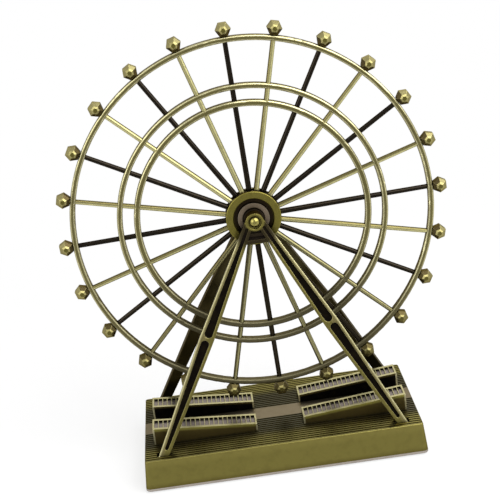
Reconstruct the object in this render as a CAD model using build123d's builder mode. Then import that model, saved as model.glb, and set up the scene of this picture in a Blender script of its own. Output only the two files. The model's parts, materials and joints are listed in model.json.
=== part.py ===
"""Desk ferris wheel, turned by hand at its rim: a drafted plinth, two A-frames and a 24-cabin wheel.

Millimetres. X runs along the plinth, +Y to the back, +Z up. The origin is the middle of the resting face.
"""

import os
from math import atan2, cos, degrees, hypot, radians, sin, sqrt

from build123d import *

os.makedirs("parts", exist_ok=True)

FRONT, REAR = -1, 1
LEFT, RIGHT = -1, 1
ON_TOP = (Align.CENTER, Align.CENTER, Align.MIN)
BELOW = (Align.CENTER, Align.CENTER, Align.MAX)

# ---- Plinth ----------------------------------------------------------------------------------------------
base_length = 86.4  # outline at the foot of the walls
base_depth = 46.6
shell_height = 8.8
wall_lean = 0.85  # how far each wall leans in over its height
corner_radius = 1.6
top_edge_radius = 0.35
shell_wall = 1.8
deck_thickness = 1.8
plate_thickness = 0.8
plate_edge_chamfer = 0.15

groove_pitch = 1.3
groove_width = 0.65
groove_depth = 0.35
strip_width = 7.4  # smooth band along the middle of the deck
groove_margin = 0.15  # flat land between the last groove and the rounded top edge

pad_height = 0.5
pad_radius = 4.0
pad_spacing_x = 54.0
pad_spacing_y = 22.0

# ---- Long screws that hold plate, plinth and frames together ------------------------------------------------
screw_radius = 0.6
screw_head_radius = 1.5
screw_head_height = 0.7
screw_grip = 1.0  # length of thread in a foot, above the deck
screw_slot_width = 0.35
screw_slot_depth = 0.3
thread_gap = 0.02
screw_gap = 0.15
post_radius = 2.4

# ---- Boarding ramps ---------------------------------------------------------------------------------------
ramp_width = 7.1
ramp_channel = 8.8  # clear way between front and rear ramps
ramp_middle_gap = 14.4  # clear way between left and right ramps
ramp_end_margin = 3.05  # from the ramp's high end to the edge of the deck
ramp_low_height = 2.25
ramp_high_height = 5.2
rung_count = 22
rung_width = 0.24
stringer_width = 1.05
ramp_end_land = 0.55
pit_depth = 0.62
peg_radius = 0.8
peg_inset = 6.0  # from each end of the ramp
peg_stand = 0.4  # how far a peg stands out under the deck
peg_gap = 0.05

# ---- Wheel ------------------------------------------------------------------------------------------------
spoke_count = 24
wheel_turn = 2.0  # how far the first rear spoke stands past the +X axis, degrees
outer_ring_radius = 54.0  # to the middle of each ring's face
middle_ring_radius = 40.0
inner_ring_radius = 34.85
outer_ring_face = 1.7
middle_ring_face = 1.7
inner_ring_face = 1.9
outer_ring_depth = 2.6
middle_ring_depth = 2.6
inner_ring_depth = 2.4
ring_edge_radius = 0.6

spoke_root_radius = 0.85
spoke_tip_radius = 0.72
spoke_stagger = 0.25  # front spokes lie this far in front of the middle plane, rear ones behind it
socket_depth = 0.8
spoke_gap = 0.02

cabin_flats = 4.0  # across the flats of its hexagon
cabin_belt = 2.0  # length of the full hexagon between the sloping facets
cabin_shoulder_flats = 2.25  # across the flats where the slopes meet the crown
cabin_shoulder = 4.0  # length over both shoulders
cabin_face_flats = 1.25  # across the flats of the front and back facets
cabin_length = 4.8
cabin_gap = 0.05  # between the outer ring and a cabin's inner flat

# ---- Hub --------------------------------------------------------------------------------------------------
hub_length = 4.8
barrel_radius = 4.78
barrel_recess_radius = 3.4
barrel_recess_depth = 0.3
web_radius = 7.8
web_thickness = 2.6
flange_radius = 8.37
flange_rim_width = 2.3
flange_recess_depth = 0.85
flange_edge_radius = 0.3
flange_gap = 0.02

shaft_radius = 1.2
running_gap = 0.06
boss_gap = 0.02
axial_play = 0.1
washer_radius = 3.1
washer_thickness = 0.9
washer_gap = 0.05
head_radius = 1.6
head_height = 1.25
head_rim_height = 0.35
cap_bore_depth = 0.5
cap_gap = 0.01

# ---- A-frames ---------------------------------------------------------------------------------------------
deck_clearance = 6.25  # between the lowest cabin and the deck
foot_inset_x = 6.05  # from the deck's end to a leg's middle line at the deck
foot_inset_y = 3.95
pocket_depth = 1.2
pocket_gap = 0.15
frame_thickness = 2.2
frame_hub_gap = 0.05
leg_top_offset = 1.3  # from the wheel's axis to a leg's middle line, at the height of the axis
leg_top_width = 2.6
leg_middle_width = 4.4
leg_foot_width = 2.8
rib_width = 0.92
recess_depth = 1.1
recess_start = 2.3
recess_end_land = 1.5
cross_web = 0.9
web_place = 0.502  # share of the leg's length, from the axle, at which the web crosses it
saddle_drop = 6.9
saddle_thickness = 1.1
saddle_bar_height = 1.15
saddle_bar_gap = 0.8
saddle_bar_step = 0.35  # each bar above the lowest is this much thinner
saddle_bars = 3
boss_radius = 2.75
boss_length = 3.4
boss_recess_radius = 2.05
boss_recess_depth = 0.7

# ---- Places that follow from the sizes above --------------------------------------------------------------
plate_z = pad_height
shell_z = plate_z + plate_thickness
deck_z = shell_z + shell_height
pocket_z = deck_z - pocket_depth
under_deck_z = deck_z - deck_thickness
wall_taper = degrees(atan2(wall_lean, shell_height))
deck_half_length = base_length / 2 - wall_lean
deck_half_depth = base_depth / 2 - wall_lean

ramp_inner_x = ramp_middle_gap / 2
ramp_outer_x = deck_half_length - ramp_end_margin
ramp_length = ramp_outer_x - ramp_inner_x
ramp_middle_y = (ramp_channel + ramp_width) / 2
ramp_slope = atan2(ramp_high_height - ramp_low_height, ramp_length)
peg_places_x = (ramp_inner_x + peg_inset, ramp_outer_x - peg_inset)

spoke_step = 360 / spoke_count
rear_angles = [wheel_turn + spoke_step * i for i in range(0, spoke_count, 2)]
front_angles = [wheel_turn + spoke_step * i for i in range(1, spoke_count, 2)]
spoke_start = web_radius - socket_depth
spoke_end = outer_ring_radius
cabin_radius = outer_ring_radius + outer_ring_face / 2 + cabin_gap + cabin_flats / 2
wheel_reach = cabin_radius + cabin_flats / 2
axle_z = deck_z + deck_clearance + wheel_reach
axle_line = Axis((0, 0, axle_z), (0, 1, 0))

hub_half = hub_length / 2
web_half = web_thickness / 2
bore_radius = shaft_radius + running_gap
boss_inner_y = hub_half - barrel_recess_depth + axial_play + washer_thickness
boss_outer_y = boss_inner_y + boss_length
head_seat_y = boss_outer_y - boss_recess_depth

foot_x = deck_half_length - foot_inset_x
foot_y = deck_half_depth - foot_inset_y
frame_hub_y = boss_inner_y + frame_thickness / 2 + frame_hub_gap
frame_lean = atan2(foot_y - frame_hub_y, axle_z - deck_z)
frame_fall = (axle_z - deck_z) / cos(frame_lean)  # from axis to deck, measured down the leaning plane
leg_splay = atan2(foot_x - leg_top_offset, frame_fall)
leg_length = hypot(foot_x - leg_top_offset, frame_fall)
recess_stop = leg_length - recess_end_land
leg_middle = leg_length * web_place
foot_places = [(x * foot_x, y * foot_y) for x in (LEFT, RIGHT) for y in (FRONT, REAR)]


def write(part, name):
    """Label a finished piece and write it to its own file."""
    part.label = name
    export_step(part, f"parts/{name}.step")


# ---- Plinth pieces ----------------------------------------------------------------------------------------
def foot_pocket(side_x, side_y):
    """Corners of the pocket that takes a slanting foot: middle and size, in X and Y."""
    half_x = leg_foot_width / 2 / cos(leg_splay) + pocket_gap
    half_y = frame_thickness / 2 / cos(frame_lean) + pocket_gap
    drift_x = pocket_depth * (foot_x - leg_top_offset) / (axle_z - deck_z)
    drift_y = pocket_depth * (foot_y - frame_hub_y) / (axle_z - deck_z)
    middle = (side_x * (foot_x + drift_x / 2), side_y * (foot_y + drift_y / 2))
    return middle, (2 * half_x + drift_x, 2 * half_y + drift_y)


def make_base_shell():
    """Hollow plinth: drafted walls, rounded top edge, grooved deck, pockets, posts and peg holes."""
    with BuildPart() as shell:
        with BuildSketch(Plane.XY.offset(shell_z)):
            RectangleRounded(base_length, base_depth, corner_radius)
        extrude(amount=shell_height, taper=wall_taper)
        fillet(shell.faces().sort_by(Axis.Z)[-1].edges(), top_edge_radius)
        with BuildSketch(Plane.XY.offset(shell_z)):
            RectangleRounded(base_length - 2 * shell_wall, base_depth - 2 * shell_wall, corner_radius)
        extrude(amount=shell_height - deck_thickness, taper=wall_taper, mode=Mode.SUBTRACT)
        # posts, hollow for the long screws, stand under each foot
        with BuildSketch(Plane.XY.offset(shell_z)):
            with Locations(*foot_places):
                Circle(post_radius)
        extrude(amount=shell_height - deck_thickness / 2)
        with BuildSketch(Plane.XY.offset(shell_z)):
            with Locations(*foot_places):
                Circle(screw_radius + screw_gap)
        extrude(amount=shell_height, mode=Mode.SUBTRACT)
        with BuildSketch(Plane.XY.offset(deck_z)):
            for side_x in (LEFT, RIGHT):
                for side_y in (FRONT, REAR):
                    middle, size = foot_pocket(side_x, side_y)
                    with Locations(middle):
                        Rectangle(*size)
        extrude(amount=-pocket_depth, mode=Mode.SUBTRACT)
        # grooves along the deck, either side of the smooth strip
        grooved = deck_half_depth - top_edge_radius - groove_margin - strip_width / 2
        rows = int(grooved / groove_pitch)
        with BuildSketch(Plane.XY.offset(deck_z)):
            for side_y in (FRONT, REAR):
                for row in range(rows):
                    with Locations((0, side_y * (strip_width / 2 + groove_pitch * (row + 0.5)))):
                        Rectangle(base_length, groove_width)
        extrude(amount=-groove_depth, mode=Mode.SUBTRACT)
        # holes for the ramps' pegs
        with BuildSketch(Plane.XY.offset(deck_z)):
            for side_x in (LEFT, RIGHT):
                for side_y in (FRONT, REAR):
                    with Locations(*[(side_x * x, side_y * ramp_middle_y) for x in peg_places_x]):
                        Circle(peg_radius + peg_gap)
        extrude(amount=-deck_thickness, mode=Mode.SUBTRACT)
    return shell.part


def make_base_plate():
    """Cover plate under the plinth, countersunk for the long screws."""
    with BuildPart() as plate:
        with BuildSketch(Plane.XY.offset(plate_z)):
            RectangleRounded(base_length, base_depth, corner_radius)
        extrude(amount=plate_thickness)
        chamfer(plate.faces().sort_by(Axis.Z)[0].edges(), plate_edge_chamfer)
        with Locations(*[(x, y, plate_z) for x, y in foot_places]):
            Cone(
                bottom_radius=screw_head_radius + screw_gap,
                top_radius=screw_radius + screw_gap,
                height=screw_head_height,
                align=ON_TOP,
                mode=Mode.SUBTRACT,
            )
            Cylinder(screw_radius + screw_gap, plate_thickness, align=ON_TOP, mode=Mode.SUBTRACT)
    return plate.part


def make_base_screws():
    """Four long countersunk screws with crossed slots, from the plate up into the feet."""
    with BuildPart() as screws:
        with Locations(*[(x, y, plate_z) for x, y in foot_places]):
            Cone(
                bottom_radius=screw_head_radius,
                top_radius=screw_radius,
                height=screw_head_height,
                align=ON_TOP,
            )
            Cylinder(screw_radius, deck_z + screw_grip - plate_z, align=ON_TOP)
            for turn in (0, 90):
                Box(
                    1.3 * screw_head_radius,
                    screw_slot_width,
                    screw_slot_depth,
                    rotation=(0, 0, turn),
                    align=ON_TOP,
                    mode=Mode.SUBTRACT,
                )
    return screws.part


def make_foot_pads():
    """Four thin round pads that the plinth stands on."""
    with BuildPart() as pads:
        with GridLocations(pad_spacing_x, pad_spacing_y, 2, 2):
            Cylinder(pad_radius, pad_height, align=ON_TOP)
    return pads.part


def make_ramp(side_x, side_y):
    """Boarding ramp that rises outwards, with a ladder of pits in its top and two pegs below."""
    middle_y = side_y * ramp_middle_y
    low_z = deck_z + ramp_low_height
    high_z = deck_z + ramp_high_height
    side_plane = Plane(origin=(0, middle_y, 0), x_dir=(1, 0, 0), z_dir=(0, -1, 0))
    top_plane = Plane(
        origin=(side_x * (ramp_inner_x + ramp_outer_x) / 2, middle_y, (low_z + high_z) / 2),
        x_dir=(side_x * cos(ramp_slope), 0, sin(ramp_slope)),
        z_dir=(-side_x * sin(ramp_slope), 0, cos(ramp_slope)),
    )
    rung_pitch = (ramp_length / cos(ramp_slope) - 2 * ramp_end_land + rung_width) / rung_count
    with BuildPart() as ramp:
        with BuildSketch(side_plane):
            with BuildLine():
                Polyline(
                    (side_x * ramp_inner_x, deck_z),
                    (side_x * ramp_outer_x, deck_z),
                    (side_x * ramp_outer_x, high_z),
                    (side_x * ramp_inner_x, low_z),
                    close=True,
                )
            make_face()
        extrude(amount=ramp_width / 2, both=True)
        with BuildSketch(top_plane):
            with GridLocations(rung_pitch, 0, rung_count, 1):
                Rectangle(rung_pitch - rung_width, ramp_width - 2 * stringer_width)
        extrude(amount=-pit_depth, mode=Mode.SUBTRACT)
        with Locations(*[(side_x * x, middle_y, deck_z) for x in peg_places_x]):
            Cylinder(peg_radius, deck_thickness + peg_stand, align=BELOW)
    return ramp.part


# ---- A-frames ---------------------------------------------------------------------------------------------
def leg_half_width(distance):
    """Half the width of a leg at a distance down its middle line: widest at the cross web."""
    if distance < leg_middle:
        share = distance / leg_middle
        return (leg_top_width + (leg_middle_width - leg_top_width) * share) / 2
    share = min((distance - leg_middle) / (leg_length - leg_middle), 1)
    return (leg_middle_width + (leg_foot_width - leg_middle_width) * share) / 2


def leg_point(side_x, distance, across=0):
    """Point in the leaning plane: down a leg's middle line, then square across it."""
    u = leg_top_offset + distance * sin(leg_splay) + across * cos(leg_splay)
    return side_x * u, -distance * cos(leg_splay) + across * sin(leg_splay)


def leg_outline(side_x, distances):
    """Corners of a leg: down its outer side and back up its inner side."""
    outer = [leg_point(side_x, distance, leg_half_width(distance)) for distance in distances]
    inner = [leg_point(side_x, distance, -leg_half_width(distance)) for distance in distances]
    return outer + inner[::-1]


def saddle_outline(top, bottom):
    """Corners of a band between the legs, from their middle lines, in the leaning plane."""
    spread = (foot_x - leg_top_offset) / frame_fall
    half_top = leg_top_offset + top * spread
    half_bottom = leg_top_offset + bottom * spread
    return [(-half_top, -top), (half_top, -top), (half_bottom, -bottom), (-half_bottom, -bottom)]


def make_frame(side_y):
    """A-frame: two tapered legs with recessed faces, a stepped saddle and the axle's boss."""
    outward = (0, side_y * cos(frame_lean), sin(frame_lean))
    leaning = Plane(origin=(0, side_y * frame_hub_y, axle_z), x_dir=(-side_y, 0, 0), z_dir=outward)
    hub_plane = Plane(origin=(0, side_y * boss_inner_y, axle_z), x_dir=(-side_y, 0, 0), z_dir=(0, side_y, 0))
    back = leaning.offset(-frame_thickness / 2)
    with BuildPart() as frame:
        with BuildSketch(leaning):
            for side_x in (LEFT, RIGHT):
                below_deck = leg_length + 2 * pocket_depth
                with BuildLine():
                    Polyline(*leg_outline(side_x, [0, leg_middle, below_deck]), close=True)
                make_face()
        extrude(amount=frame_thickness / 2, both=True)
        # saddle: a thin plate with bars that step back towards the boss
        with BuildSketch(back):
            with BuildLine():
                Polyline(*saddle_outline(0, saddle_drop), close=True)
            make_face()
        extrude(amount=saddle_thickness)
        for bar in range(saddle_bars):
            bottom = saddle_drop - bar * (saddle_bar_height + saddle_bar_gap)
            with BuildSketch(back):
                with BuildLine():
                    Polyline(*saddle_outline(bottom - saddle_bar_height, bottom), close=True)
                make_face()
            extrude(amount=frame_thickness - saddle_bar_step * (bar + 0.5))
        # the faces of the legs are sunk between their ribs, above and below a cross web
        for side_x in (LEFT, RIGHT):
            for start, stop in (
                (recess_start, leg_middle - cross_web / 2),
                (leg_middle + cross_web / 2, recess_stop),
            ):
                with BuildSketch(leaning.offset(frame_thickness / 2)):
                    for end, inward in ((start, 1), (stop, -1)):
                        radius = leg_half_width(end) - rib_width
                        with Locations(leg_point(side_x, end + inward * radius)):
                            Circle(radius)
                    make_hull()
                extrude(amount=-recess_depth, mode=Mode.SUBTRACT)
        split(bisect_by=Plane.XY.offset(pocket_z), keep=Keep.TOP)
        split(bisect_by=hub_plane, keep=Keep.TOP)
        # boss, spot-faced so that the leaning legs don't stand in front of it
        with BuildSketch(hub_plane):
            Circle(boss_radius)
        extrude(amount=boss_length)
        with BuildSketch(hub_plane.offset(boss_length)):
            Circle(boss_radius)
        extrude(amount=boss_length, mode=Mode.SUBTRACT)
        with BuildSketch(hub_plane):
            Circle(shaft_radius + boss_gap)
        extrude(amount=boss_length, mode=Mode.SUBTRACT)
        with BuildSketch(hub_plane.offset(boss_length)):
            Circle(boss_recess_radius)
        extrude(amount=-boss_recess_depth, mode=Mode.SUBTRACT)
        # pilot holes for the long screws
        with Locations(*[(side_x * foot_x, side_y * foot_y, pocket_z) for side_x in (LEFT, RIGHT)]):
            Cylinder(
                screw_radius + thread_gap,
                pocket_depth + screw_grip + screw_gap,
                align=ON_TOP,
                mode=Mode.SUBTRACT,
            )
    return frame.part


# ---- Axle -------------------------------------------------------------------------------------------------
def dome_points(seat_y, side_y):
    """Half outline of a domed head: middle and edge of its seat, top of its rim, bulge and crown."""
    rim_y = seat_y + head_rim_height
    crown_y = seat_y + head_height
    rise = crown_y - rim_y
    sphere = (head_radius**2 + rise**2) / (2 * rise)
    bulge_x = head_radius / 2
    bulge_y = crown_y - sphere + sqrt(sphere**2 - bulge_x**2)
    outline = [(0, seat_y), (head_radius, seat_y), (head_radius, rim_y), (bulge_x, bulge_y), (0, crown_y)]
    return [(x, side_y * y) for x, y in outline]


def make_axle():
    """Plain pin with a domed head that sits in the front boss."""
    shaft_plane = Plane(origin=(0, -head_seat_y, axle_z), z_dir=(0, 1, 0))
    middle, seat, rim, bulge, crown = dome_points(head_seat_y, FRONT)
    with BuildPart() as axle:
        with BuildSketch(Plane.XY.offset(axle_z)):
            with BuildLine():
                Polyline(crown, middle, seat, rim)
                ThreePointArc(rim, bulge, crown)
            make_face()
        revolve(axis=axle_line)
        with BuildSketch(shaft_plane):
            Circle(shaft_radius)
        extrude(amount=2 * head_seat_y + cap_bore_depth)
    return axle.part


def make_axle_cap():
    """Domed cap pressed on the pin's rear end."""
    bore_plane = Plane(origin=(0, head_seat_y, axle_z), z_dir=(0, 1, 0))
    middle, seat, rim, bulge, crown = dome_points(head_seat_y, REAR)
    with BuildPart() as cap:
        with BuildSketch(Plane.XY.offset(axle_z)):
            with BuildLine():
                Polyline(crown, middle, seat, rim)
                ThreePointArc(rim, bulge, crown)
            make_face()
        revolve(axis=axle_line)
        with BuildSketch(bore_plane):
            Circle(shaft_radius + cap_gap)
        extrude(amount=cap_bore_depth + cap_gap, mode=Mode.SUBTRACT)
    return cap.part


def make_washer(side_y):
    """Spacer between a boss and the end of the hub."""
    with BuildPart() as washer:
        with BuildSketch(Plane(origin=(0, side_y * boss_inner_y, axle_z), z_dir=(0, -side_y, 0))):
            Circle(washer_radius)
            Circle(shaft_radius + washer_gap, mode=Mode.SUBTRACT)
        extrude(amount=washer_thickness)
    return washer.part


# ---- Wheel ------------------------------------------------------------------------------------------------
def rim_plane(radius, angle, y):
    """Plane across the wheel's radius at an angle from +X, facing outwards."""
    outward = (cos(radians(angle)), 0, sin(radians(angle)))
    origin = (radius * outward[0], y, axle_z + radius * outward[2])
    return Plane(origin=origin, x_dir=(0, 1, 0), z_dir=outward)


def spoke_rods(angles, y, gap=0, mode=Mode.ADD):
    """Tapered spokes, or with a gap the holes that they pass through."""
    with Locations(*[rim_plane(spoke_start, angle, y) for angle in angles]):
        Cone(
            bottom_radius=spoke_root_radius + gap,
            top_radius=spoke_tip_radius + gap,
            height=spoke_end - spoke_start,
            align=ON_TOP,
            mode=mode,
        )


def cut_spoke_holes():
    """Holes for both sets of spokes in the piece being built."""
    spoke_rods(front_angles, -spoke_stagger, spoke_gap, Mode.SUBTRACT)
    spoke_rods(rear_angles, spoke_stagger, spoke_gap, Mode.SUBTRACT)


def make_spokes(angles, y):
    """One set of twelve spokes, from the hub's web to the outer ring."""
    with BuildPart() as spokes:
        spoke_rods(angles, y)
    return spokes.part


def make_ring(radius, face, depth):
    """Ring with rounded edges, drilled for the spokes that cross it."""
    with BuildPart() as ring:
        with BuildSketch(Plane.XY.offset(axle_z)):
            with Locations((radius, 0)):
                RectangleRounded(face, depth, ring_edge_radius)
        revolve(axis=axle_line)
        cut_spoke_holes()
        if radius == outer_ring_radius:
            for angles, y in ((front_angles, -spoke_stagger), (rear_angles, spoke_stagger)):
                with BuildSketch(*[rim_plane(spoke_end, angle, y) for angle in angles]):
                    Circle(spoke_tip_radius + spoke_gap)
                extrude(amount=face, mode=Mode.SUBTRACT)
    return ring.part


def make_hub_barrel():
    """Core with the running bore, and the web that the spokes are rooted in."""
    floor_y = hub_half - barrel_recess_depth
    half = [
        (bore_radius, floor_y),
        (barrel_recess_radius, floor_y),
        (barrel_recess_radius, hub_half),
        (barrel_radius, hub_half),
        (barrel_radius, web_half),
        (web_radius, web_half),
    ]
    with BuildPart() as barrel:
        with BuildSketch(Plane.XY.offset(axle_z)):
            with BuildLine():
                Polyline(*half, *[(x, -y) for x, y in reversed(half)], close=True)
            make_face()
        revolve(axis=axle_line)
        cut_spoke_holes()
    return barrel.part


def make_flange(side_y):
    """Hub ring: a rounded rim round a sunk face, slid on the barrel against the web."""
    inner = barrel_radius + flange_gap
    rim_inner = flange_radius - flange_rim_width
    root_y = side_y * (web_half + flange_gap)
    sunk_y = side_y * (hub_half - flange_recess_depth)
    face_y = side_y * hub_half
    with BuildPart() as flange:
        with BuildSketch(Plane.XY.offset(axle_z)) as profile:
            with BuildLine():
                Polyline(
                    (inner, root_y),
                    (flange_radius, root_y),
                    (flange_radius, face_y),
                    (rim_inner, face_y),
                    (rim_inner, sunk_y),
                    (inner, sunk_y),
                    close=True,
                )
            make_face()
            rim = profile.vertices().filter_by(lambda v: abs(v.Y - face_y) < 1e-6)
            fillet(rim, flange_edge_radius)
        revolve(axis=axle_line)
    return flange.part


def make_cabin(angle, spoke_y):
    """Faceted cabin: a hexagonal belt that slopes in to a small facet at each end, on a short neck."""
    middle = rim_plane(cabin_radius, angle, 0)
    cabin_plane = Plane(origin=middle.origin, x_dir=middle.z_dir, z_dir=(0, 1, 0))
    neck_plane = rim_plane(spoke_end, angle, spoke_y)
    with BuildPart() as cabin:
        with BuildSketch(cabin_plane):
            RegularPolygon(cabin_flats / 2, 6, major_radius=False, rotation=30)
        extrude(amount=cabin_belt / 2, both=True)
        slopes = (
            (cabin_belt, cabin_flats, cabin_shoulder, cabin_shoulder_flats),
            (cabin_shoulder, cabin_shoulder_flats, cabin_length, cabin_face_flats),
        )
        for side in (FRONT, REAR):
            for start, start_flats, stop, stop_flats in slopes:
                with BuildSketch(cabin_plane.offset(side * start / 2)):
                    RegularPolygon(start_flats / 2, 6, major_radius=False, rotation=30)
                with BuildSketch(cabin_plane.offset(side * stop / 2)):
                    RegularPolygon(stop_flats / 2, 6, major_radius=False, rotation=30)
                loft()
        with BuildSketch(neck_plane):
            Circle(spoke_tip_radius)
        extrude(until=Until.NEXT)
    return cabin.part


write(make_base_shell(), "base_shell")
write(make_base_plate(), "base_plate")
write(make_base_screws(), "base_screws")
write(make_foot_pads(), "foot_pads")
for side_y, end in ((FRONT, "front"), (REAR, "rear")):
    write(make_ramp(LEFT, side_y), f"ramp_{end}_left")
    write(make_ramp(RIGHT, side_y), f"ramp_{end}_right")
    write(make_frame(side_y), f"{end}_frame")
    write(make_washer(side_y), f"{end}_washer")
    write(make_flange(side_y), f"{end}_flange")
write(make_axle(), "axle")
write(make_axle_cap(), "axle_cap")
write(make_hub_barrel(), "hub_barrel")
write(make_spokes(front_angles, -spoke_stagger), "front_spokes")
write(make_spokes(rear_angles, spoke_stagger), "rear_spokes")
write(make_ring(inner_ring_radius, inner_ring_face, inner_ring_depth), "inner_ring")
write(make_ring(middle_ring_radius, middle_ring_face, middle_ring_depth), "middle_ring")
write(make_ring(outer_ring_radius, outer_ring_face, outer_ring_depth), "outer_ring")
for number, angle in enumerate(sorted(front_angles + rear_angles), start=1):
    cabin_y = -spoke_stagger if angle in front_angles else spoke_stagger
    write(make_cabin(angle, cabin_y), f"cabin_{number:02d}")
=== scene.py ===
import json
import math

import bpy
from mathutils import Matrix, Vector


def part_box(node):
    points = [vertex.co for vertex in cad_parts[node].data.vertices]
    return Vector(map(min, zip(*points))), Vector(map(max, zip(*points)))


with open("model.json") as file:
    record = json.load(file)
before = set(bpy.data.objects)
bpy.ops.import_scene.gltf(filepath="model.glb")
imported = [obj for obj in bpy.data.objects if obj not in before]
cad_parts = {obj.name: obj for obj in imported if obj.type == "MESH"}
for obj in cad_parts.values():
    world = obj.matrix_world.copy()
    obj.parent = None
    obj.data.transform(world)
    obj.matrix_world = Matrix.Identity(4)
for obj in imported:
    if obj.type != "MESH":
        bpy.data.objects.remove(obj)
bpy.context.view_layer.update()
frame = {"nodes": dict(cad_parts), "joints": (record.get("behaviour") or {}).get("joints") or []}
nodes = frame["nodes"]

FRONT, REAR = -1, 1

# ---- Places, in metres -------------------------------------------------------------------------------------
AXLE = Vector(frame["joints"][0]["pos_m"])
SHELL_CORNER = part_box("base_shell")[1]
DECK = SHELL_CORNER.z
DECK_FLAT_X = SHELL_CORNER.x - 0.0011  # inside the leaning walls and the rounded top edge
DECK_FLAT_Y = SHELL_CORNER.y - 0.0013
STRIP_EDGE = 0.00375  # from the middle of the deck to the end of its smooth strip

RAMP_NEAR, RAMP_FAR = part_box("ramp_rear_right")
RAMP_LOW = 0.00225  # height of a ramp's top above the deck, at its low end and at its high end
RAMP_HIGH = RAMP_FAR.z - DECK
RAMP_MIDDLE_X = (RAMP_NEAR.x + RAMP_FAR.x) / 2
RAMP_END_LINE = (RAMP_FAR.x - RAMP_NEAR.x) / 2 - 0.00045

FRAME_HUB_Y = 0.00425  # an A-frame's middle plane, at the axle and at the deck
FRAME_FOOT_Y = 0.01849
LEG_HEIGHT = AXLE.z - DECK
FRAME_LEAN = math.atan2(FRAME_FOOT_Y - FRAME_HUB_Y, LEG_HEIGHT)
LEG_TOP_X = 0.0013  # a leg's middle line, at the axle and at the deck
LEG_FOOT_X = 0.0363
WEB_DROP = 0.502 * LEG_HEIGHT  # how far under the axle the cross web lies
LEG_TOP_HALF = 0.00148  # half a leg's width along X, at the axle, the web and the deck
LEG_WEB_HALF = 0.0025
LEG_FOOT_HALF = 0.00159

# Distances from the axle's line at which the plating changes
BOSS_FACE = 0.00285  # end of the boss's olive face
BOSS_SIDE = 0.00315  # start of the dark stretch round the boss
HUB_END = 0.0081  # end of that stretch
LEG_START = 0.0075  # from here the legs have their own colours
LEG_WEAR_START = 0.00625  # from here their edges are rubbed
SLOT_START = 0.00475
BARREL_RECESS = 0.0034  # end of the dark middle of the hub core
BARREL_EDGE = 0.0042  # start of its pale edge
FLANGE_RIM = 0.0060  # inner edge of the flange's olive rim
FLANGE_LINE = 0.00765  # start of its pale outer line
FLANGE_WALL = 0.0080


def linear(level):
    """Linear value of a screen's level, 0 to 255."""
    share = level / 255
    return share / 12.92 if share <= 0.04045 else ((share + 0.055) / 1.055) ** 2.4


def tone(red, green, blue):
    """Colour as it looks on a screen, turned into the linear values that shaders use."""
    return linear(red), linear(green), linear(blue), 1.0


BROWN = tone(60, 51, 28)
BLACK = tone(12, 11, 9)
WHITE = (1.0, 1.0, 1.0, 1.0)
PAPER = (0.9, 0.9, 0.9, 1.0)
GRAZING = (0.5, 0.46, 0.38, 1.0)  # tint of reflections at a grazing angle


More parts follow.
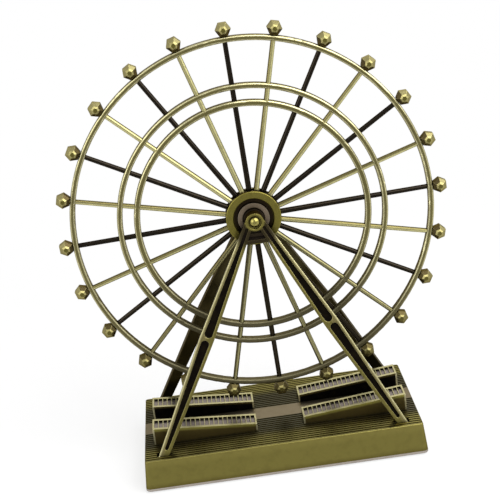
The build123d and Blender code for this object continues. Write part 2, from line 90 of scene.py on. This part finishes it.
# ---- Shader helpers ----------------------------------------------------------------------------------------
class Shader:
    """Adds nodes to a material or a world. Every method returns the socket that carries its result."""

    def __init__(self, owner):
        self.owner = owner
        owner.use_nodes = True
        self.tree = owner.node_tree
        self.tree.nodes.clear()
        self.where = self.add("ShaderNodeTexCoord")
        self.place = self.where.outputs["Object"]
        self.facing = self.where.outputs["Normal"]

    def add(self, kind, **settings):
        node = self.tree.nodes.new(kind)
        for key, value in settings.items():
            setattr(node, key, value)
        return node

    def put(self, socket, value):
        if isinstance(value, bpy.types.NodeSocket):
            self.tree.links.new(value, socket)
        else:
            socket.default_value = value

    def math(self, operation, a, b=0.0, c=0.0, clamp=False):
        node = self.add("ShaderNodeMath", operation=operation, use_clamp=clamp)
        for socket, value in zip(node.inputs, (a, b, c)):
            self.put(socket, value)
        return node.outputs[0]

    def times(self, *values):
        """Product of masks and numbers."""
        product = values[0]
        for value in values[1:]:
            product = self.math("MULTIPLY", product, value)
        return product

    def most(self, *values):
        """The largest of some masks."""
        largest = values[0]
        for value in values[1:]:
            largest = self.math("MAXIMUM", largest, value)
        return largest

    def size_of(self, value):
        return self.math("ABSOLUTE", value)

    def line(self, value, start, end):
        """Result on the straight line through two (value, result) pairs."""
        slope = (end[1] - start[1]) / (end[0] - start[0])
        return self.math("MULTIPLY_ADD", value, slope, start[1] - slope * start[0])

    def vector(self, operation, a, b=(0, 0, 0)):
        node = self.add("ShaderNodeVectorMath", operation=operation)
        self.put(node.inputs[0], a)
        self.put(node.inputs[1], b)
        return node.outputs["Value"] if operation in ("DOT_PRODUCT", "LENGTH") else node.outputs["Vector"]

    def step(self, value, low, high):
        """Smooth step: 0 below low and 1 above high, or the other way round where low is the larger."""
        node = self.add("ShaderNodeMapRange", interpolation_type="SMOOTHSTEP")
        self.put(node.inputs["Value"], value)
        self.put(node.inputs["From Min"], low)
        self.put(node.inputs["From Max"], high)
        return node.outputs["Result"]

    def past(self, value, limit, blur):
        """1 above the limit, blurred over a stretch to either side of it."""
        return self.step(value, limit - blur, limit + blur)

    def short_of(self, value, limit, blur):
        """1 below the limit, blurred in the same way."""
        return self.step(value, limit + blur, limit - blur)

    def mix(self, share, a, b):
        node = self.add("ShaderNodeMix", data_type="RGBA")
        self.put(node.inputs["Factor"], share)
        self.put(node.inputs[6], a)
        self.put(node.inputs[7], b)
        return node.outputs[2]

    def split(self, vector):
        node = self.add("ShaderNodeSeparateXYZ")
        self.put(node.inputs[0], vector)
        return node.outputs

    def noise(self, size, detail=3.0, rough=0.55):
        """Noise whose features are about size metres across."""
        node = self.add("ShaderNodeTexNoise")
        self.put(node.inputs["Vector"], self.vector("MULTIPLY", self.place, (1 / size,) * 3))
        node.inputs["Scale"].default_value = 1.0
        node.inputs["Detail"].default_value = detail
        node.inputs["Roughness"].default_value = rough
        return node.outputs["Fac"]

    def rounded(self, radius):
        """Normal of the surface as if its edges had this radius."""
        node = self.add("ShaderNodeBevel", samples=6)
        node.inputs["Radius"].default_value = radius
        return node.outputs["Normal"]

    def edges(self, radius):
        """1 along sharp edges, from how far a rounded normal turns from the face's own."""
        own = self.add("ShaderNodeNewGeometry").outputs["Normal"]
        return self.step(self.vector("DOT_PRODUCT", self.rounded(radius), own), 0.985, 0.86)

    def shelter(self, distance):
        """1 in recesses and corners, 0 on open faces."""
        node = self.add("ShaderNodeAmbientOcclusion", samples=6)
        node.inputs["Distance"].default_value = distance
        return self.step(node.outputs["AO"], 0.75, 0.25)

    def mix_surfaces(self, share, a, b):
        node = self.add("ShaderNodeMixShader")
        for socket, value in zip(node.inputs, (share, a, b)):
            self.put(socket, value)
        return node.outputs[0]

    def show(self, surface, kind="ShaderNodeOutputMaterial"):
        self.put(self.add(kind).inputs["Surface"], surface)
        return self.owner

    def finish(self, colour, roughness, metallic, bump, depth=0.00002, edge_radius=0.0):
        surface = self.add("ShaderNodeBsdfPrincipled")
        self.put(surface.inputs["Base Color"], colour)
        self.put(surface.inputs["Roughness"], roughness)
        self.put(surface.inputs["Metallic"], metallic)
        surface.inputs["Specular Tint"].default_value = GRAZING
        relief = self.add("ShaderNodeBump")
        relief.inputs["Strength"].default_value = 1.0
        relief.inputs["Distance"].default_value = depth
        self.put(relief.inputs["Height"], bump)
        if edge_radius:
            self.put(relief.inputs["Normal"], self.rounded(edge_radius))
        self.put(surface.inputs["Normal"], relief.outputs["Normal"])
        return self.show(surface.outputs[0])


class Plating(Shader):
    """Antique plating, built up in coats: each coat is a colour laid on where a mask says so."""

    def __init__(self, name, base):
        super().__init__(bpy.data.materials.new(name))
        self.cloud = self.noise(0.006, detail=4)
        self.grain = self.noise(0.0006, detail=3, rough=0.6)
        self.colour = base
        self.polish = 0.0  # above 0 where the plating is rubbed smooth, below 0 where it is duller

    def coat(self, colour, mask):
        self.colour = self.mix(mask, self.colour, colour)

    def soften(self, mask, amount=0.35):
        """The mask with its strength varied by the cloud, so that no coat is perfectly even."""
        varied = self.math("MULTIPLY_ADD", self.math("SUBTRACT", self.cloud, 0.5), amount, 1.0)
        return self.math("MULTIPLY", mask, varied, clamp=True)

    def wear(self, radius, strength, colour, mask=1.0):
        """Rubs the edges bright."""
        rubbed = self.times(self.edges(radius), self.step(self.cloud, 0.22, 0.5), strength, mask)
        self.coat(colour, rubbed)
        self.polish = self.most(self.polish, rubbed)

    def stain(self, distance, strength):
        """Dark patina left in recesses and corners."""
        self.coat(BLACK, self.times(self.shelter(distance), self.step(self.grain, 0.2, 0.45), strength))

    def done(self, rough, depth=0.000004, edge_radius=0.0):
        """Adds brown clouds and an uneven roughness, and closes the material."""
        self.coat(BROWN, self.times(self.step(self.noise(0.0022, detail=2), 0.4, 0.75), 0.14))
        uneven = 0.18
        roughness = self.math("MULTIPLY_ADD", self.grain, uneven, rough - uneven / 2)
        roughness = self.math("MULTIPLY_ADD", self.polish, -0.08, roughness)
        return self.finish(self.colour, roughness, 0.95, self.grain, depth, edge_radius)

    def across_axle(self):
        """Offset from the axle's line."""
        return self.vector("MULTIPLY", self.vector("SUBTRACT", self.place, tuple(AXLE)), (1, 0, 1))

    def from_axle(self):
        """Distance from the axle's line."""
        return self.vector("LENGTH", self.across_axle())

    def away_from_axle(self):
        """Direction out from the axle's line."""
        return self.vector("NORMALIZE", self.across_axle())

    def shaded_lower_side(self):
        """1 on the side of the wheel that is lowest at rest, where shade is painted into the colour."""
        return self.step(self.vector("DOT_PRODUCT", self.away_from_axle(), (0, 0, -1)), 0.2, 0.85)

    def faces_front(self):
        """1 on faces that look to the front or the back, 0 on those that look along the plinth or up."""
        return self.size_of(self.split(self.facing)[1])


# ---- Materials of the CAD nodes ----------------------------------------------------------------------------
def leaning(s, side):
    """Distance out of an A-frame's middle plane, and how far a face looks outwards."""
    outward_axis = (0, side * math.cos(FRAME_LEAN), math.sin(FRAME_LEAN))
    from_hub = s.vector("SUBTRACT", s.place, (0, side * FRAME_HUB_Y, AXLE.z))
    return s.vector("DOT_PRODUCT", from_hub, outward_axis), s.vector("DOT_PRODUCT", s.facing, outward_axis)


def across_leg(s):
    """Distance out from a leg's middle line, and distance in from its outer edge, both along X."""
    x, y, z = s.split(s.place)
    drop = s.math("SUBTRACT", AXLE.z, z)
    middle = s.line(drop, (0, LEG_TOP_X), (LEG_HEIGHT, LEG_FOOT_X))
    outside = s.math("SUBTRACT", s.size_of(x), middle)
    swelling = s.line(drop, (0, LEG_TOP_HALF), (WEB_DROP, LEG_WEB_HALF))
    shrinking = s.line(drop, (WEB_DROP, LEG_WEB_HALF), (LEG_HEIGHT, LEG_FOOT_HALF))
    return outside, s.math("SUBTRACT", s.math("MINIMUM", swelling, shrinking), outside)


def frame_bronze(side):
    """Outer ribs with a painted highlight, palest along their outer edge; olive inner ribs, black slots, dark
    flanks and a dark hub end.
    """
    s = Plating(f"frame_{'front' if side == FRONT else 'rear'}", tone(58, 52, 31))
    height, look = leaning(s, side)
    outside, rim = across_leg(s)
    far = s.from_axle()
    flank = s.step(s.size_of(look), 0.6, 0.3)
    top = s.times(s.step(height, 0.0008, 0.00098), s.step(look, 0.5, 0.9))
    leg = s.times(top, s.past(far, LEG_START, 0.0035))
    outer_rib_highlight = s.times(leg, s.step(outside, 0.0, 0.0006))
    outer_edge_highlight = s.times(leg, s.step(rim, 0.00065, 0.00015))
    s.coat(tone(66, 58, 34), flank)
    s.coat(tone(92, 85, 46), s.soften(top))
    s.coat(tone(112, 105, 56), s.soften(leg))
    # Painted highlight that the outward and upward leaning outer ribs catch, palest at their outer edge.
    s.coat(tone(124, 115, 74), s.soften(outer_rib_highlight))
    s.coat(tone(184, 177, 132), s.soften(outer_edge_highlight))
    rubbed = s.times(s.step(look, 0.3, 0.6), s.past(far, LEG_WEAR_START, 0.00275))
    s.wear(0.00014, 0.8, tone(190, 184, 140), rubbed)
    sunk = s.times(s.step(height, 0.00098, 0.0008), s.step(height, -0.0012, -0.0006))
    s.coat(tone(20, 16, 12), s.times(sunk, s.step(look, -0.2, 0.2), s.past(far, SLOT_START, 0.00075)))
    hub_end = s.times(s.short_of(far, HUB_END, 0.0015), s.past(far, BOSS_SIDE, 0.00025))
    s.coat(tone(36, 29, 25), s.times(hub_end, 0.8))
    s.coat(tone(124, 116, 60), s.times(top, s.short_of(far, BOSS_FACE, 0.00015)))
    s.stain(0.0022, 0.6)
    return s.done(0.32, edge_radius=0.0004)


def ring_bronze():
    """Rings: a painted highlight on the rounded edges either side of an olive face, between dark walls, and
    painted shade on the wheel's lower side, which is also rougher.
    """
    s = Plating("ring_bronze", tone(66, 58, 38))
    to_front = s.faces_front()
    # Rounded edges paler towards the face, with an olive face in the middle: a painted highlight on each
    # rounded edge.
    s.coat(tone(130, 122, 76), s.soften(s.step(to_front, 0.1, 0.35)))
    s.coat(tone(186, 180, 140), s.soften(s.step(to_front, 0.3, 0.65)))
    s.coat(tone(122, 115, 72), s.soften(s.step(to_front, 0.93, 0.995)))
    # Painted shade on the wheel's lower side; the same side is also given a higher roughness.
    s.coat(tone(80, 75, 56), s.times(s.shaded_lower_side(), 0.9))
    s.polish = s.times(s.shaded_lower_side(), -2.0)
    s.stain(0.0012, 0.7)
    return s.done(0.26, depth=0.0000015, edge_radius=0.0005)


def rod_bronze(side):
    """Spokes: the outward half is olive, with a painted highlight on the flank that looks down and to the
    right at rest; the other half is nearly black, and the wheel's lower side has painted shade.
    """
    s = Plating(f"{'front' if side == FRONT else 'rear'}_rod", tone(34, 30, 25))
    outward = s.math("MULTIPLY", s.split(s.facing)[1], float(side))
    # Flank that looks down and to the right at rest, where a highlight is painted.
    flank = s.step(s.vector("DOT_PRODUCT", s.facing, (0.5, 0, -0.87)), -0.35, 0.05)
    s.coat(tone(104, 97, 60), s.soften(s.step(outward, 0.05, 0.3)))
    # Painted highlight on that flank.
    s.coat(tone(190, 184, 132), s.soften(s.times(s.step(outward, 0.2, 0.5), flank)))
    # Painted shade on the wheel's lower side.
    s.coat(tone(44, 39, 28), s.times(s.shaded_lower_side(), 0.5))
    s.stain(0.001, 0.7)
    return s.done(0.24, depth=0.0000015, edge_radius=0.00025)


def cabin_bronze():
    """Cabins: dark towards the wheel, from patina in the crease and painted shade cast by the ring, paler
    outwards where rubbed, with an olive facet at each end and painted shade on the wheel's lower side.
    """
    s = Plating("cabin_bronze", tone(82, 72, 46))
    to_front = s.faces_front()
    outwards = s.vector("DOT_PRODUCT", s.facing, s.away_from_axle())
    # The base stays dark towards the wheel: patina in the crease and painted shade from the ring; paler
    # outwards where rubbed.
    s.coat(tone(146, 138, 94), s.soften(s.step(outwards, -0.3, 0.5)))
    s.coat(tone(154, 146, 96), s.soften(s.step(to_front, 0.7, 0.76)))
    s.coat(tone(104, 97, 48), s.step(to_front, 0.9, 0.97))
    # Painted shade on the wheel's lower side.
    s.coat(tone(74, 67, 36), s.times(s.shaded_lower_side(), 0.55))
    s.wear(0.0002, 0.45, tone(190, 184, 138))
    s.stain(0.0012, 0.45)
    return s.done(0.36, edge_radius=0.0002)


def flange_bronze():
    """Hub rings: an olive rim with a pale outer line, round a deep dark recess."""
    s = Plating("flange_bronze", tone(38, 30, 20))
    to_front = s.faces_front()
    far = s.from_axle()
    rim = s.times(s.past(far, FLANGE_RIM, 0.0002), s.step(to_front, 0.2, 0.8))
    s.coat(tone(126, 118, 56), s.soften(rim))
    s.coat(tone(60, 52, 30), s.times(s.step(to_front, 0.5, 0.2), s.past(far, FLANGE_WALL, 0.0002)))
    s.wear(0.0002, 0.9, tone(184, 178, 134), s.past(far, FLANGE_LINE, 0.00025))
    s.stain(0.0012, 0.8)
    return s.done(0.3, edge_radius=0.0002)


def barrel_bronze():
    """Hub core and washers: a greyish rubbed face with a pale outer edge and a dark middle."""
    s = Plating("barrel_bronze", tone(44, 36, 26))
    far = s.from_axle()
    s.coat(tone(134, 120, 102), s.soften(s.step(s.faces_front(), 0.5, 0.95)))
    s.coat(tone(40, 33, 26), s.times(s.short_of(far, BARREL_RECESS, 0.0002), 0.8))
    s.wear(0.0002, 0.9, tone(176, 168, 146), s.past(far, BARREL_EDGE, 0.0002))
    s.stain(0.001, 0.8)
    return s.done(0.34)


def tip_bronze():
    """Domed axle ends: rubbed bright in the middle."""
    s = Plating("tip_bronze", tone(54, 46, 26))
    s.coat(tone(144, 136, 76), s.soften(s.step(s.faces_front(), 0.4, 0.9), 0.15))
    s.stain(0.0006, 0.8)
    return s.done(0.22, depth=0.0000025)


def ramp_bronze():
    """Ramps: pale stringers and rungs, grey pit floors, walls that darken downwards, and painted shadow in
    black on the pit walls and on the walls that face the channel.
    """
    s = Plating("ramp_bronze", tone(92, 81, 46))
    x, y, z = s.split(s.place)
    look_x, look_y, look_z = s.split(s.facing)
    side = s.size_of(x)
    across = s.size_of(y)
    top = s.line(side, (RAMP_NEAR.x, DECK + RAMP_LOW), (RAMP_FAR.x, DECK + RAMP_HIGH))
    below = s.math("SUBTRACT", top, z)
    upward = s.step(look_z, 0.5, 0.9)
    wall = s.step(s.size_of(look_y), 0.5, 0.9)
    end = s.step(s.size_of(look_x), 0.5, 0.9)
    outer = s.times(wall, s.past(across, RAMP_FAR.y - 0.0013, 0.0002))
    inner = s.times(wall, s.short_of(across, RAMP_NEAR.y + 0.0014, 0.0002))
    pit_start = s.past(across, RAMP_NEAR.y + 0.0006, 0.0002)
    pit_end = s.short_of(across, RAMP_FAR.y - 0.0007, 0.0002)
    end_line = s.past(s.size_of(s.math("SUBTRACT", side, RAMP_MIDDLE_X)), RAMP_END_LINE, 0.0001)
    s.coat(tone(150, 143, 76), s.times(outer, s.step(below, 0.0012, 0.0004)))
    # Painted shadow: the walls that face the channel between the ramps are near black below the top.
    s.coat(tone(11, 10, 11), s.times(inner, s.step(below, 0.0002, 0.0009)))
    s.coat(tone(104, 98, 58), s.times(end, s.step(below, 0.003, 0.0004)))
    s.coat(tone(168, 162, 124), s.times(upward, s.step(below, 0.0002, 0.0001)))
    s.coat(tone(128, 120, 116), s.times(upward, s.step(below, 0.0003, 0.0004)))
    # Painted shadow: the pit walls are black.
    s.coat(BLACK, s.times(pit_start, pit_end, wall, s.step(below, 0.0001, 0.0002)))
    s.coat(tone(198, 192, 156), s.times(end_line, wall, 0.9))
    s.stain(0.0012, 0.5)
    return s.done(0.4, edge_radius=0.0001)


def shell_bronze():
    """Plinth: smooth olive walls, a dark deck with pale lines between its grooves, a grey-brown strip."""
    s = Plating("shell_bronze", tone(110, 103, 53))
    x, y, z = s.split(s.place)
    across = s.size_of(y)
    sunk = s.math("SUBTRACT", DECK, z)
    inside = s.times(s.short_of(across, DECK_FLAT_Y, 0.0001), s.short_of(s.size_of(x), DECK_FLAT_X, 0.0001))
    upward = s.times(s.step(s.split(s.facing)[2], 0.5, 0.9), s.step(sunk, 0.0006, 0.0004))
    land = s.step(sunk, 0.00015, 0.00005)
    groove = s.times(inside, s.step(sunk, 0.0007, 0.0005), s.step(sunk, 0.00005, 0.00015))
    s.coat(tone(92, 84, 42), s.step(z, 0.0030, 0.0012))
    s.coat(tone(118, 110, 58), s.step(sunk, 0.0031, 0.0006))
    s.coat(tone(120, 113, 68), s.times(upward, land))
    s.coat(tone(62, 56, 36), groove)
    s.coat(tone(50, 52, 56), s.times(upward, s.step(across, 0.0175, 0.0120), 0.8))
    s.coat(tone(110, 101, 84), s.times(upward, s.short_of(across, STRIP_EDGE, 0.00015)))
    top_edge = s.times(s.step(sunk, 0.0009, 0.0005), s.step(inside, 0.6, 0.3))
    s.wear(0.00018, 0.5, tone(150, 143, 100), top_edge)
    s.stain(0.001, 0.5)
    return s.done(0.36, depth=0.000003)


def plate_bronze():
    """Cover plate and screws: a pale grey edge, painted as the reflection of the white floor, and a dark
    underside.
    """
    # Pale grey base: a painted reflection of the white floor on the plate's edge.
    s = Plating("plate_bronze", tone(160, 152, 144))
    s.coat(tone(60, 53, 36), s.step(s.size_of(s.split(s.facing)[2]), 0.3, 0.8))
    s.wear(0.0002, 0.5, tone(196, 190, 182))
    return s.done(0.42)


def pad_rubber():
    """Foot pads: matt, dark and faintly mottled."""
    s = Shader(bpy.data.materials.new("pad_rubber"))
    colour = s.mix(s.noise(0.002), tone(24, 24, 24), tone(44, 43, 41))
    roughness = s.math("MULTIPLY_ADD", s.noise(0.0006), 0.2, 0.65)
    return s.finish(colour, roughness, 0.0, s.noise(0.0003))


def wear_on(part, material):
    part.data.materials.clear()
    part.data.materials.append(material)


barrel = barrel_bronze()
plate = plate_bronze()
material_of = {
    "ring": ring_bronze(),
    "cabin": cabin_bronze(),
    "ramp": ramp_bronze(),
    "flange": flange_bronze(),
    "barrel": barrel,
    "washer": barrel,
    "axle": tip_bronze(),
    "front_spokes": rod_bronze(FRONT),
    "rear_spokes": rod_bronze(REAR),
    "front_frame": frame_bronze(FRONT),
    "rear_frame": frame_bronze(REAR),
    "shell": shell_bronze(),
    "plate": plate,
    "screws": plate,
    "pads": pad_rubber(),
}
for name, part in nodes.items():
    wear_on(part, next(material for word, material in material_of.items() if word in name))


# ---- Floor, world, lamps and camera ------------------------------------------------------------------------
def floor_paper():
    """White paper. The camera sees it whiter than the light makes it, wholly white away from the object.

    Metal sees it a little darker ahead of the object, as the open side of a light tent is.
    """
    s = Shader(bpy.data.materials.new("floor_paper"))
    ray = s.add("ShaderNodeLightPath").outputs
    x, y, z = s.split(s.place)
    beside = s.math("DIVIDE", s.size_of(x), s.size_of(y))
    ahead = s.times(s.step(y, -0.065, -0.10), s.step(beside, 1.0, 0.5))
    matte = s.add("ShaderNodeBsdfDiffuse")
    matte.inputs["Color"].default_value = PAPER
    glow = s.add("ShaderNodeEmission")
    glow.inputs["Color"].default_value = WHITE
    s.put(glow.inputs["Strength"], s.math("MULTIPLY_ADD", s.times(ray["Is Glossy Ray"], ahead), -0.4, 1.0))
    share = s.math("MULTIPLY_ADD", s.step(s.vector("LENGTH", s.place), 0.08, 0.25), 0.3, 0.7)
    straight = s.times(s.most(ray["Is Camera Ray"], ray["Is Transmission Ray"]), share)
    mirrored = s.times(ray["Is Glossy Ray"], s.most(s.times(share, 0.7), ahead))
    return s.show(s.mix_surfaces(s.most(straight, mirrored), matte.outputs[0], glow.outputs[0]))


def studio():
    """White all round for the camera; metal sees a white tent with a slightly darker opening ahead."""
    s = Shader(bpy.data.worlds.new("studio"))
    ray = s.add("ShaderNodeLightPath").outputs
    x, y, z = s.split(s.where.outputs["Generated"])
    opening = s.times(s.step(y, -0.55, -0.85), s.step(s.size_of(x), 0.6, 0.3), s.step(z, 0.7, 0.4))
    glossy = s.times(ray["Is Glossy Ray"], s.math("MULTIPLY_ADD", opening, -0.25, 1.0))
    diffuse = 0.45
    light = s.add("ShaderNodeBackground")
    light.inputs["Color"].default_value = WHITE
    s.put(light.inputs["Strength"], s.most(ray["Is Camera Ray"], ray["Is Transmission Ray"], glossy, diffuse))
    return s.show(light.outputs[0], "ShaderNodeOutputWorld")


def lamp(name, place, aim_height, size, watts):
    """Square lamp that looks at a point above the middle of the floor."""
    light = bpy.data.lights.new(name, "AREA")
    light.shape = "SQUARE"
    light.size = size
    light.energy = watts
    holder = bpy.data.objects.new(name, light)
    holder.location = place
    holder.rotation_mode = "QUATERNION"
    holder.rotation_quaternion = (Vector((0, 0, aim_height)) - Vector(place)).to_track_quat("-Z", "Y")
    bpy.context.scene.collection.objects.link(holder)


def add_camera(place, forward, upward, focal_pixels, picture_pixels=500, sensor_mm=36):
    """Camera at a place, from its direction of view, its rough upward direction and its focal length."""
    right = forward.cross(upward).normalized()
    upward = right.cross(forward)
    lens = bpy.data.cameras.new("camera")
    lens.sensor_width = sensor_mm
    lens.lens = focal_pixels / picture_pixels * sensor_mm
    lens.clip_start = 0.01
    lens.clip_end = 20
    camera = bpy.data.objects.new("camera", lens)
    turn = Matrix((right, upward, -forward)).transposed().to_4x4()
    camera.matrix_world = Matrix.Translation(place) @ turn
    bpy.context.scene.collection.objects.link(camera)
    bpy.context.scene.camera = camera


bpy.ops.mesh.primitive_plane_add(size=6, location=(0, 0, 0))
floor = bpy.context.object
floor.name = "floor"
wear_on(floor, floor_paper())
bpy.context.scene.world = studio()

lamp("key", (0.35, -0.35, 0.5), aim_height=0.07, size=0.7, watts=6.5)
lamp("fill", (-0.45, -0.4, 0.3), aim_height=0.06, size=0.5, watts=1.8)
lamp("rim", (0.1, 0.45, 0.45), aim_height=0.07, size=0.3, watts=0.6)

add_camera(
    place=(-0.01275, -0.37923, 0.19455),
    forward=Vector((0.02613, 0.94576, -0.32382)).normalized(),
    upward=Vector((0.13631, 0.31753, 0.9384)),
    focal_pixels=1321.45,
)
bpy.context.scene.view_settings.view_transform = "Standard"
